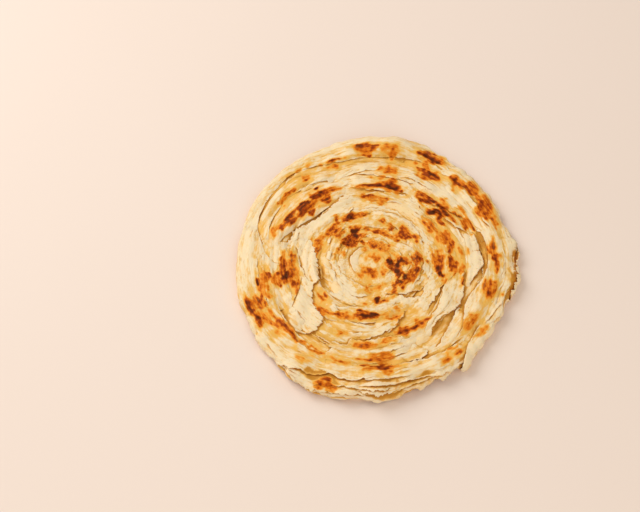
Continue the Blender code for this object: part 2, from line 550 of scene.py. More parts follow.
def spin_body():
    """A closed disc, its top at height 0 and its underside at -1, to shape the body from."""
    disc = bmesh.new()
    section = []
    for ring in range(TOP_RINGS + 1):
        section.append(disc.verts.new((ring / TOP_RINGS, 0.0, 0.0)))
    for ring in range(1, UNDER_RINGS + 1):
        section.append(disc.verts.new((1.0 - ring / UNDER_RINGS, 0.0, -1.0)))
    edges = [disc.edges.new(pair) for pair in zip(section, section[1:])]
    bmesh.ops.spin(
        disc, geom=section + edges, cent=(0, 0, 0), axis=(0, 0, 1), angle=math.tau,
        steps=BODY_SPOKES, use_merge=True,
    )
    bmesh.ops.remove_doubles(disc, verts=disc.verts, dist=1e-6)
    bmesh.ops.recalc_face_normals(disc, faces=disc.faces)
    mesh = bpy.data.meshes.new("pressed_body")
    disc.to_mesh(mesh)
    disc.free()
    return mesh


def read_points(mesh):
    """The mesh's points as three rows of numbers."""
    flat = np.empty(len(mesh.vertices) * 3, np.float32)
    mesh.vertices.foreach_get("co", flat)
    return flat.reshape(-1, 3).T.astype(float)


def write_points(mesh, x, y, z):
    """Move the mesh's points to those places."""
    flat = np.stack((x, y, z), axis=1).astype(np.float32).ravel()
    mesh.vertices.foreach_set("co", flat)
    mesh.update()


body_mesh = spin_body()
share_x, share_y, layer = read_points(body_mesh)
share = np.hypot(share_x, share_y)
body_angles = np.arctan2(share_y, share_x)
under = layer < -0.5
along_skin = share * (flat_start(body_angles) + skin_along[-2])
body_u = along_skin * np.cos(body_angles)
body_v = along_skin * np.sin(body_angles)
to_ground = flat_start(body_angles) + rim_edge_along + LEAF_ROOM_RIM - along_skin
body_lift = read_map(laid, body_u, body_v) * np.clip(to_ground / LEAF_ROOM_RIM, 0.0, 1.0)
top_places = raise_from_skin(body_u, body_v, body_lift)
foot = flat_start(body_angles) + skin_out[-2]
under_x = share * foot * np.cos(body_angles)
under_y = share * foot * np.sin(body_angles)
# The underside is flat but for the shallow joints between the coil's strands.
joints = 0.5 * MM * np.clip(np.abs(fine_strands(under_x, under_y)) - 0.5, 0.0, 1.0)
under_z = GROUND_GAP + joints * np.clip((1.0 - share) * 12.0, 0.0, 1.0)
write_points(body_mesh, *(
    np.where(under, low, top) for low, top in zip((under_x, under_y, under_z), top_places)
))
# Its third colour is the deep gold of painted shade in gaps and creases.
body_dough = dough_finish("body_dough", (252, 224, 174), (240, 184, 86), (208, 146, 58))
body = show_piece("pressed_body", body_mesh, body_dough)
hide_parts("paratha")

# What the browning, the painted shade and the painted highlight have to know of each finished mesh,
# point by point.
UNDERSIDE_DEPTH = 9.0 * MM
finished = [dict(
    mesh=body_mesh,
    u=np.where(under, under_x, body_u),
    v=np.where(under, under_y, body_v),
    height=np.where(under, UNDERSIDE_DEPTH, body_lift),
    pale=np.zeros(len(share)),
    lip_highlight=np.zeros(len(share)),
    hidden=under,
)]


# ---- Dough leaves of the coil ---------------------------------------------------------------
# Each turn of the rope is a stack of thin oiled dough sheets. Pressing slid them apart like fallen
# cards, so that their torn free edges run along the coil. Every leaf is laid on those before it,
# from the outermost turn inwards.
LEAF_STEP_ALONG = 0.75 * MM
LEAF_STEP_ACROSS = 0.55 * MM
LEAF_GAP = 0.10 * MM
END_DIVE = 1.1 * MM
THIN_EDGE = 2.2 * MM
# Width of the painted highlight along each leaf's free edge.
LIP_HIGHLIGHT_WIDTH = 1.3 * MM
BED_CHANGE = 4.0 * MM
THICKEST = 1.5 * MM
THICKNESS_STEPS = 20
EDGE_CROWDING = 1.25
GRIDS_APART = 2.0
NEXT_SEED = 10
COIL_STEP = 12.0


def smooth_path(points, shares):
    """Places on a smooth curve through the points, at shares of its length from 0 to 1."""
    through = np.array(points, float) * MM
    ends = (2.0 * through[:1] - through[1:2], 2.0 * through[-1:] - through[-2:-1])
    padded = np.vstack((ends[0], through, ends[1]))
    chords = np.hypot(*np.diff(through, axis=0).T)
    knots = np.concatenate(((0.0,), np.cumsum(chords))) / chords.sum()
    spot = np.interp(shares, knots, np.arange(len(knots)))
    step = np.minimum(spot.astype(int), len(through) - 2)
    t = (spot - step)[:, None]
    before, near, far, after = (padded[step + offset] for offset in range(4))
    bend = 2.0 * before - 5.0 * near + 4.0 * far - after
    twist = 3.0 * (near - far) + after - before
    return near + 0.5 * t * (far - before + t * (bend + t * twist))


def flutter(seed, shares, length, waviness):
    """Uneven wave along an edge, about 1 high, whose longest waves are that long."""
    draw = np.random.default_rng(seed)
    total = np.zeros_like(shares)
    for octave in range(5):
        waves = length / waviness * 1.9 ** octave * draw.uniform(0.8, 1.2)
        total += np.sin(math.tau * (waves * shares + draw.uniform())) / 1.45 ** octave
    return total / 1.6


def tear_line(seed, shares, length, waviness):
    """Ragged line of a torn edge: long waves with small sharp nicks."""
    draw = np.random.default_rng(seed + 7)
    gaps = draw.uniform(0.3, 1.0, max(int(length / (1.5 * MM)), 8)) ** 2
    spots = np.concatenate(((0.0,), np.cumsum(gaps) / gaps.sum()))
    nicks = draw.uniform(-1.0, 1.0, len(spots)) ** 3
    return 0.8 * flutter(seed, shares, length, waviness) + 0.55 * np.interp(shares, spots, nicks)


PLAIN_LEAF = dict(
    root=None, lift=0.5, reach=5.0, thick=0.4, torn=0.6, wave=9.0, crown=0.0, taper=(0.18, 0.18),
    pale=0.0, rumpled=1.0, filled=0.95,
)


def leaf(edge, **said):
    """Say what one dough leaf is like; sizes in millimetres.

    edge and root are points along its free and its buried edge. A leaf without a root is as wide
    as width, and its body lies "out" or "in" from its free edge. The free edge stands up by
    lift, falling off within reach, or is pressed down where lift is below 0; it is torn that
    unevenly, in waves that long. crown rounds the leaf like a fold, taper says over what share
    of its length each end dives under, rumpled how uneven the leaf is, and filled how much of
    the room under the lifted edge is dough. pale keeps the leaf light; at 2 it keeps off the
    browning too, and below 0 the leaf is more golden.
    """
    return {**PLAIN_LEAF, "edge": edge, **said}


def leaf_lines(said, shares):
    """Free edge and root of a leaf at shares of its length."""
    edge = smooth_path(said["edge"], shares)
    if said["root"] is not None:
        return edge, smooth_path(said["root"], shares)
    away = edge - COIL_MIDDLE
    away /= np.hypot(*away.T)[:, None] + 1e-9
    side = 1.0 if said["body"] == "out" else -1.0
    return edge, edge + away * side * said["width"] * MM


def leaf_turned(said):
    """Whether the leaf's root lies on the right of its free edge, so that it must be reversed."""
    edge, root = leaf_lines(said, np.linspace(0.0, 1.0, 9))
    ahead = np.diff(edge, axis=0)
    over = (root - edge)[:-1]
    return (ahead[:, 0] * over[:, 1] - ahead[:, 1] * over[:, 0]).sum() < 0.0


def leaf_ripple(x, y, u, v):
    """Unevenness of a leaf: strands and creases along the coil, and crumples from the press."""
    creased = np.exp(-(crease_strands(x, y) / 0.35) ** 2)
    creased = creased * np.clip(0.6 + broad_strands(x + 7 * MM, y), 0.0, 1.0)
    ripple = 0.12 * fine_strands(x, y) + 0.20 * broad_strands(x, y) + 0.12 * read_map(lumps, u, v)
    crumpled = np.minimum(np.abs(read_map(crumples, u, v)), 1.6) - PLEAT_LEVEL
    return ripple + 0.30 * crumpled - 0.25 * creased


def leaf_surface(said, seed, along, across, resting):
    """Place on the skin, height of the upper face and thickness of points of a leaf.

    resting holds two maps of what it lies on, one smooth and one that follows every hollow; the
    leaf takes the second near its free edge.
    """
    if said["turned"]:
        along = 1.0 - along
    edge, root = leaf_lines(said, along)
    length = said["length"]
    tear = said["torn"] * MM * tear_line(seed, along, length, said["wave"] * MM)
    breadth = np.hypot(*(root - edge).T) + 1e-9
    inward = (root - edge) / breadth[:, None]
    spot = edge + (root - edge) * across[:, None] + inward * (tear * (1.0 - across) ** 2)[:, None]
    x, y = spot.T
    u, v = unroll(x, y)
    from_edge = breadth * across
    end = ease(along / said["taper"][0]) * ease((1.0 - along) / said["taper"][1])
    hold = end * ease((1.0 - across) / 0.35)
    rise = 0.65 + 0.35 * flutter(seed + 1, along, length, 14.0 * MM)
    fall = np.clip(1.0 - from_edge / (said["reach"] * MM), 0.0, 1.0) ** 2
    lift = said["lift"] * MM * end * rise * fall
    crown = said["crown"] * MM * end * np.sin(math.pi * np.clip(across, 0.0, 1.0) ** 0.85)
    calm = 0.35 + 0.65 * ease((coil_place(x, y)[1] - 8.0 * MM) / (18.0 * MM))
    ripple = said["rumpled"] * MM * calm * leaf_ripple(x, y, u, v)
    thickness = said["thick"] * MM * (0.25 + 0.75 * ease(from_edge / THIN_EDGE)) * (0.15 + 0.85 * hold)
    hollow_reach = 1.3 * (1.05 - said["filled"]) * MM
    thickness = thickness + said["filled"] * lift * ease(from_edge / hollow_reach)
    far, near = (read_map(bed, u, v) for bed in resting)
    rest_height = near + (far - near) * ease(from_edge / BED_CHANGE)
    height = rest_height + thickness + LEAF_GAP + lift + crown + ripple * hold - END_DIVE * (1.0 - hold)
    return u, v, height, thickness


def lay_leaf(said, seed):
    """Lay one leaf on the bread and return what it rests on and how fine its mesh has to be."""
    said["turned"] = leaf_turned(said)
    edge, root = leaf_lines(said, np.linspace(0.0, 1.0, 60))
    edge_length, root_length = (np.hypot(*np.diff(line, axis=0).T).sum() for line in (edge, root))
    said["length"] = max(edge_length, 1.0 * MM)
    breadth = np.hypot(*(root - edge).T).mean()
    resting = [np.maximum(soften(cover(laid, 2), reach), laid) for reach in (1.1 * MM, 0.6 * MM)]
    columns = max(int(max(said["length"], root_length) / LEAF_STEP_ALONG), 6)
    rows = max(int(breadth / LEAF_STEP_ACROSS), 5)
    dense_along, dense_across = np.meshgrid(
        np.linspace(0.0, 1.0, columns * 4), np.linspace(0.0, 1.0, rows * 3)
    )
    u, v, height, _ = leaf_surface(said, seed, dense_along.ravel(), dense_across.ravel(), resting)
    row, column = (
        np.clip(np.rint((axis + MAP_HALF) / MAP_CELL).astype(int), 0, map_size - 1) for axis in (v, u)
    )
    np.maximum.at(laid, (row, column), height)
    return resting, columns, rows


def lay_leaves(name, leaves, seed):
    """Lay a group of leaves one after another and join them in one piece."""
    sheets = bmesh.new()
    beds = []
    for number, said in enumerate(leaves):
        bed, columns, rows = lay_leaf(said, seed + NEXT_SEED * number)
        beds.append(bed)
        bmesh.ops.create_grid(
            sheets, x_segments=columns, y_segments=rows, size=0.5,
            matrix=Matrix.Translation((GRIDS_APART * number, 0.0, 0.0)),
        )
    mesh = bpy.data.meshes.new(name)
    sheets.to_mesh(mesh)
    sheets.free()
    x, y, _ = read_points(mesh)
    numbers = np.rint(x / GRIDS_APART).astype(int)
    places = np.zeros((3, len(x)))
    notes = np.zeros((6, len(x)))
    for number, said in enumerate(leaves):
        mine = numbers == number
        along = np.clip(x[mine] - GRIDS_APART * number + 0.5, 0.0, 1.0)
        across = np.clip(y[mine] + 0.5, 0.0, 1.0) ** EDGE_CROWDING
        u, v, height, thickness = leaf_surface(
            said, seed + NEXT_SEED * number, along, across, beds[number]
        )
        places[:, mine] = raise_from_skin(u, v, height, thickness + LEAF_GAP)
        edge, root = leaf_lines(said, 1.0 - along if said["turned"] else along)
        # A painted highlight along the leaf's free edge: 1 at the edge, 0 that far in.
        lip_highlight = np.clip(1.0 - across * np.hypot(*(root - edge).T) / LIP_HIGHLIGHT_WIDTH, 0.0, 1.0)
        notes[:, mine] = u, v, height, thickness, np.full(len(u), said["pale"]), lip_highlight
    write_points(mesh, *places)
    u, v, height, thickness, pale, lip_highlight = notes
    piece = show_piece(name, mesh, leaf_dough)
    mesh.materials.append(oiled_and_shaded_dough)
    group = piece.vertex_groups.new(name="thickness")
    shares = np.rint(np.clip(thickness / THICKEST, 0.0, 1.0) * THICKNESS_STEPS).astype(int)
    for level in range(THICKNESS_STEPS + 1):
        group.add(np.nonzero(shares == level)[0].tolist(), level / THICKNESS_STEPS, "REPLACE")
    thicken = piece.modifiers.new("thickness", "SOLIDIFY")
    thicken.thickness = THICKEST
    thicken.offset = -1.0
    thicken.vertex_group = group.name
    thicken.thickness_vertex_group = 0.05
    # Undersides and edge walls take the second material, the darker golden copy that paints the shade
    # under the lips.
    thicken.material_offset = 1
    thicken.material_offset_rim = 1
    hidden = np.zeros(len(x), bool)
    finished.append(dict(mesh=mesh, u=u, v=v, height=height, pale=pale, lip_highlight=lip_highlight, hidden=hidden))


def coil_line(turn, start, stop, sway, seed, slant=0.0):
    """Points along the coil from a place across its turns, going clockwise; angles in degrees."""
    points = []
    count = max(int(abs(stop - start) / COIL_STEP), 3)
    wander = np.cumsum(np.random.default_rng(seed).uniform(-1.0, 1.0, count + 1)) * sway
    distances = np.linspace(0.0, 110.0 * MM, 221)
    for step in range(count + 1):
        swept = (stop - start) * step / count
        angle = -math.radians(start + swept)
        way = np.array((math.cos(angle), math.sin(angle)))
        line = COIL_MIDDLE[:, None] + way[:, None] * distances
        rim = np.interp(np.arctan2(line[1], line[0]), ring_angles, ring_reach)
        full = distances[rim > np.hypot(line[0], line[1])][-1]
        place = turn + wander[step] + swept / 360.0 + slant * (step / count - 0.5)
        share = np.interp(place, np.arange(len(TURN_STARTS)), TURN_STARTS)
        points.append(tuple((COIL_MIDDLE + way * share * full) / MM))
    return points


# The third colour of each dough is the deep gold of painted shade in gaps and creases.
leaf_dough = dough_finish("leaf_dough", (251, 229, 191), (242, 188, 94), (204, 140, 50))
# Oiled dough of the undersides and edge walls, darker and more golden: the oil between the layers, and
# painted shade on the walls under the lips.
oiled_and_shaded_dough = dough_finish("oiled_and_shaded_underside", (242, 190, 104), (230, 160, 66), (204, 132, 44))
COIL_TURNS = (6.2, 5.7, 5.2, 4.8, 4.4, 4.0, 3.6, 3.2, 2.8, 2.3)
LEAVES_TOGETHER = 8
draw = np.random.default_rng(5)
coil_leaves = []
for turn in COIL_TURNS:
    start = draw.uniform(0.0, 360.0)
    pieces = 3 if turn > 2.5 else 2
    for part in range(pieces):
        begin = start + part * 360.0 / pieces
        span = 360.0 / pieces * draw.uniform(0.9, 1.3)
        line = coil_line(turn - 0.5, begin, begin + span, 0.05, int(draw.integers(1e6)))
        coil_leaves.append(leaf(
            line, width=draw.uniform(7.0, 11.0), body=draw.choice(("out", "in")),
            lift=draw.uniform(0.1, 0.45), torn=draw.uniform(0.3, 0.9), thick=0.24,
            pale=draw.uniform(-0.6, 0.9),
        ))
for number, place in enumerate(("outermost", "outer", "inner", "innermost")):
    first = LEAVES_TOGETHER * number
    together = coil_leaves[first:first + LEAVES_TOGETHER]
    lay_leaves(place + "_coil_leaves", together, 1000 * (number + 1))


# ---- Rim sheets -----------------------------------------------------------------------------
# The stack of dough sheets comes out at the rim in tiers, thin and ragged, the lowest first.
# They run from the left round the near side and the right; on the left the last fold lies over
# them. A few larger torn edges stand out between them.
RIM_STEP = 9.0


def round_rim(start, stop, inset, sway, seed):
    """Points that keep that far inside the rim, in millimetres, between two directions."""
    count = max(int(abs(stop - start) / RIM_STEP), 3)
    wander = np.random.default_rng(seed).uniform(-1.0, 1.0, count + 1) * sway
    points = []
    for step in range(count + 1):
        angle = math.radians(start + (stop - start) * step / count)
        wrapped = (angle + math.pi) % math.tau - math.pi
        distance = np.interp(wrapped, ring_angles, ring_reach) / MM - inset - wander[step]
        points.append((distance * math.cos(angle), distance * math.sin(angle)))
    return points


TIERS_BEGIN = 175.0
TIERS_END = 445.0
LOWER_SHEETS = 26
RIM_TIERS = (
    # how far in from the rim, lift of the edge, raggedness
    (-4.4, 0.3, 0.15),
    (-3.2, 0.5, 0.2),
    (-2.0, 0.7, 0.3),
    (-0.4, 0.8, 0.35),
    (2.0, 0.8, 0.4),
    (5.0, 0.7, 0.4),
    (8.5, 0.6, 0.4),
)
rim_sheets = []
for tier, (inset, lift, tear) in enumerate(RIM_TIERS):
    begin = TIERS_BEGIN + 13.0 * tier
    while begin < TIERS_END:
        span = draw.uniform(30.0, 62.0)
        seed = int(draw.integers(1e6))
        inner = inset + draw.uniform(8.0, 11.0)
        rim_sheets.append(leaf(
            round_rim(begin, begin + span, inset + draw.uniform(-0.6, 0.6), 0.9, seed),
            root=round_rim(begin, begin + span, inner, 0.5, seed + 1),
            lift=lift * draw.uniform(0.6, 1.5), reach=3.0, torn=tear, wave=draw.uniform(12.0, 24.0),
            thick=0.3, taper=(0.15, 0.15), pale=draw.uniform(-0.6, 0.9), filled=0.45,
        ))
        begin += span * 0.8
rim_sheets += [
    # lowest sheet at the near left
    leaf([(-46, -77), (-40, -80.5), (-31, -83.5), (-20, -85), (-8, -86)],
         root=[(-48, -70), (-40, -72), (-30, -74), (-20, -75), (-8, -76)],
         lift=0.9, torn=0.5, wave=6, filled=0.4),
    # pale torn lip at the very front
    leaf([(-14, -84), (-8, -84.6), (-2, -84.6), (3, -84), (7, -82.6), (12, -80.6)],
         root=[(-16, -80), (-6, -80), (0, -80), (6, -79), (12, -78), (17, -77.5)],
         lift=1.8, reach=4, torn=0.6, wave=7, pale=1, thick=0.3, filled=0.2, rumpled=1.2,
         taper=(0.2, 0.25)),
    # two ragged pale lips on the right
    leaf([(79, 18), (81.5, 13), (83.5, 9.5), (84, 7), (82, 4.5)],
         root=[(72, 16), (73, 12), (74, 8), (74, 4), (74, 1)],
         lift=1.6, torn=1.2, wave=3, thick=0.3, pale=1, filled=0.2),
    leaf([(81.5, 3), (83.5, 0), (83, -4), (82, -8), (80.5, -13), (79, -19)],
         root=[(72, 4), (74, -1), (74, -6), (73, -10), (72, -14), (70, -19)],
         lift=1.8, torn=1.2, wave=4, thick=0.3, pale=1, filled=0.2),
    # torn pale lip at the far right
    leaf([(62, 48), (66, 45.5), (70, 42), (72.5, 37), (73.5, 32), (75, 27)],
         root=[(55, 42), (59, 40), (62, 37), (64, 33), (66, 29), (68, 25)],
         lift=1.2, torn=0.9, wave=5, thick=0.3, pale=1, filled=0.4),
]
lay_leaves("lower_rim_sheets", rim_sheets[:LOWER_SHEETS], 5000)
lay_leaves("upper_rim_sheets", rim_sheets[LOWER_SHEETS:], 5500)


# ---- Lower sheets ---------------------------------------------------------------------------
# The near half of the coil, in thin oiled dough: a ring with a browned crest, the valley outside
# it, and the broad last turn, whose outer edge ends above the rim's tiers. The press stuck each
# sheet to those under it, all but its torn free edge.
lower_sheets = [
    # sheets that show under the last turn
    leaf([(-42, -77), (-36, -79.5), (-30, -80.6), (-22, -81), (-16, -82), (-8, -83), (2, -82.5),
          (10, -81)],
         root=[(-44, -68), (-36, -70), (-28, -71), (-20, -72), (-12, -73), (-2, -73), (8, -72)],
         lift=1.1, reach=4, torn=0.5, wave=7, filled=0.3, thick=0.3),
    leaf([(-14, -81.5), (-4, -81.2), (4, -80.4), (12, -78.4), (18, -76.4), (24, -74.6), (30, -72.8),
          (36, -70), (42, -67)],
         root=[(-12, -72), (-2, -72), (8, -71), (18, -68), (26, -66), (32, -63), (38, -60)],
         lift=1.1, torn=0.3, wave=12, filled=0.3),
    # ring round the whorl, with the browned crest
    leaf([(-38, -22), (-37.5, -30), (-33, -36), (-27, -39.2), (-18, -40), (-8, -41.5), (1, -40),
          (6, -37)],
         root=[(-27, -14), (-26, -20), (-23, -25), (-18, -28), (-12, -29), (-6, -29.5), (0, -28),
               (4, -25)],
         lift=0.3, crown=0.7, torn=0.4),
    # broad ring with a wavy inner edge
    leaf([(-33, -62), (-28, -58), (-23, -55.5), (-18, -54), (-15.5, -51), (-12, -52.5), (-6, -52.5),
          (0, -50.5), (6, -50), (12, -50.5), (18, -52), (25, -54)],
         root=[(-36, -75), (-28, -77), (-18, -78), (-8, -78.5), (2, -78), (12, -76.5), (22, -74),
               (30, -70)],
         lift=1.1, reach=6, torn=0.8, wave=6),
    # the last turn, lifted over a gap at the near left
    leaf([(-62, -62), (-56, -66), (-50, -68.8), (-45, -70.6), (-40, -73.6), (-35, -74.6), (-28, -74),
          (-24, -75.8), (-20, -77.6), (-12, -77.8), (-5, -77), (2, -76.6), (10, -75.5)],
         root=[(-56, -54), (-48, -58), (-38, -62), (-28, -64), (-16, -66), (-6, -67), (4, -66)],
         lift=2.2, reach=6, torn=0.5, wave=8, filled=0.1, taper=(0.3, 0.2)),
    leaf([(42, -64.5), (36, -68), (28, -71), (20, -73.6), (10, -76), (0, -77.8), (-8, -78.5)],
         root=[(36, -57), (30, -61), (22, -64), (14, -66.5), (6, -68), (-4, -69), (-12, -69)],
         lift=1.0, reach=4, torn=0.3, wave=10, filled=0.3, taper=(0.2, 0.3)),
    # small torn lips between the ring and the blades
    leaf([(13, -28.5), (9, -31), (6, -34.5), (3, -38), (1, -41)],
         root=[(5, -26), (1, -29), (-3, -33), (-6, -36), (-8, -39)],
         lift=0.9, torn=0.7, wave=5, pale=0.6),
    leaf([(19, -30.5), (15.5, -33), (13.8, -37), (11, -41), (8, -45), (5, -48.5)],
         root=[(10, -27), (6, -30), (3, -34), (0, -38), (-3, -42), (-6, -46)],
         lift=1.2, torn=0.9, wave=5, pale=0.6),
    leaf([(27, -57), (27.6, -60), (26, -62.5), (22, -65), (16, -66.5)],
         root=[(18, -52), (16, -56), (12, -60), (8, -62)],
         lift=1.0, torn=0.6, wave=4),
]
lay_leaves("lower_sheets", lower_sheets, 6000)


# ---- Right blades ---------------------------------------------------------------------------
# On the right and near right the rope's dough sheets split into long narrow blades that overlap
# like feathers, with deep golden pockets between them. Their roots are pressed into the coil.
right_blades = [
    # sheet outside the pocket on the right
    leaf([(58, 22), (61.5, 18), (63.5, 13), (64.5, 7), (64.8, 1), (64, -5), (61, -11)],
         root=[(72, 24), (74, 16), (75, 8), (75, 0), (74, -8), (72, -16)],
         lift=1.3, torn=0.3),
    # broad pale blade that stands over that pocket
    leaf([(53, 22), (57, 18.5), (59, 14), (60, 9), (61.5, 3.5), (62, -2), (59, -7), (55, -13),
          (52, -19)],
         root=[(50, 21), (50.5, 15), (51, 8), (51.5, 2), (51.5, -4), (51, -10), (50, -15), (49, -20)],
         lift=1.8, reach=8, torn=0.4, pale=0.9),
    # two lips round a small pocket by the whorl
    leaf([(31.5, -6), (29.5, -13), (27.3, -17.5), (25.6, -22), (24.5, -25)],
         root=[(38, -6), (37.5, -13), (37, -19), (35, -25), (33, -28)],
         lift=1.0, torn=0.4, taper=(0.2, 0.05)),
    leaf([(11, -22.5), (14, -23.6), (17, -24.6), (20, -23.8), (23, -24.3), (25.5, -22.6)],
         root=[(12, -31), (16, -33), (20, -32), (24, -31.5), (28, -31), (31, -29)],
         lift=1.4, torn=0.8, wave=4, pale=0.9),
    # long ragged blades that run from the right to the near side
    leaf([(51, -3), (50, -13), (49.5, -22), (46.5, -29.5), (42, -34), (36.5, -37), (33, -41),
          (30.5, -45), (29, -50)],
         root=[(43, -3), (42, -12), (40, -20), (37, -28), (33, -34), (29, -39), (26, -44), (24, -50)],
         lift=1.6, torn=0.7, wave=6, pale=0.7),
    leaf([(41, -6), (39, -14), (37, -22), (35.5, -27.5), (33, -33), (29.5, -38), (27.5, -43),
          (26, -47)],
         root=[(48, -6), (47, -14), (45, -22), (42, -29), (38, -33.5), (34, -37), (31, -42), (29, -47)],
         lift=0.8, torn=0.4, pale=0.5),
    # blade over the pocket at the near right, and the sheets outside it
    leaf([(46, -31), (43, -37), (40.5, -42.5), (37.5, -48.5), (34.5, -54), (31, -58)],
         root=[(54, -32), (52, -40), (48, -47), (44, -53), (40, -58), (36, -62)],
         lift=1.5, torn=0.4, pale=0.4),
    leaf([(64, -5), (61, -12), (57, -17.5), (53, -23), (50.5, -28), (49.3, -34), (48.5, -40), (47, -46),
          (44, -52)],
         root=[(74, -6), (73, -14), (70, -22), (67, -30), (63, -38), (59, -45), (54, -52), (50, -57)],
         lift=1.0, torn=0.3),
    leaf([(49, -50), (43, -55), (37, -59), (31, -62.3), (26, -64.5), (18, -66.5), (10, -68)],
         root=[(56, -54), (50, -60), (44, -65), (38, -68.5), (30, -72), (22, -75), (14, -77)],
         lift=0.9, torn=0.4),
    # blade whose tip stands out past the rim
    leaf([(60, -39), (56, -45), (52.5, -51), (49.5, -56.5), (46.5, -61.5), (44, -66)],
         root=[(71, -37), (67, -44), (61.5, -50.5), (56, -57), (50.5, -62), (45.5, -67)],
         lift=0.5, torn=0.25, taper=(0.3, 0.02), pale=0.8, thick=0.5),
    # frill that stands out from the rim on the right
    leaf([(80.5, 13), (82, 7), (82, 0), (81, -6), (79, -13), (76.5, -20), (73.5, -27)],
         root=[(89, 12), (91, 6), (91, 0), (90, -6), (87.5, -13), (84, -20), (80.5, -28)],
         lift=3.2, reach=7, torn=0.9, wave=5, thick=0.3, pale=2, filled=0.05),
]
lay_leaves("right_blades", right_blades, 7000)


# ---- Upper sheets ---------------------------------------------------------------------------
# The far half of the coil: broad thin sheets of dough whose lips point inwards, browned along
# their edges. Each is pressed on to the turn outside it.
upper_sheets = [
    # turns from the whorl outwards
    leaf([(28, 6), (27, 12), (25, 18), (22, 24), (17, 29), (10, 32), (2, 33.5), (-6, 34)],
         root=[(19, 5), (18, 11), (15, 17), (11, 21), (6, 23), (0, 25), (-6, 26)],
         lift=0.7, torn=0.5),
    leaf([(-19, 52), (-13, 50.5), (-7, 49.8), (-1, 49), (5, 48), (11, 47), (17, 47.5), (22, 45.5)],
         root=[(-20, 62), (-12, 62), (-4, 62), (4, 61.5), (12, 60), (20, 58), (27, 55)],
         lift=0.9, torn=0.5),
    leaf([(-14, 60.5), (-6, 60), (2, 58.5), (8, 57), (14, 56), (20, 54), (26, 51)],
         root=[(-16, 69), (-6, 70), (4, 70), (14, 69), (22, 67), (30, 63)],
         lift=0.5, torn=0.5),
    # lips on the far right
    leaf([(31, 36), (34.5, 33.5), (38, 31.3), (42, 27), (46, 23.3), (50, 21), (55, 19)],
         root=[(37, 40), (42, 37), (47, 33), (52, 29.5), (56, 26), (60, 22)],
         lift=1.2, torn=0.35, pale=0.5),
    leaf([(21, 47), (25, 44), (29, 41.3), (33, 38.7), (38, 37), (43, 33.5), (48, 30.5), (52, 28.5),
          (57, 22.5)],
         root=[(24, 58), (31, 55), (38, 51), (45, 46), (51, 40), (56, 34), (61, 28)],
         lift=0.9, torn=0.4),
    # rounded rim fold on the far right
    leaf([(38, 62), (43, 58), (48, 53), (53, 48.5), (57, 44), (60, 39), (61, 33), (63, 27), (66, 22),
          (69, 17)],
         root=[(48, 68), (54, 62), (60, 56), (65, 50), (69, 44), (72, 38), (74, 32), (77, 25),
               (79, 18)],
         lift=0.8, crown=0.6, torn=0.3),
]
lay_leaves("upper_sheets", upper_sheets, 8000)


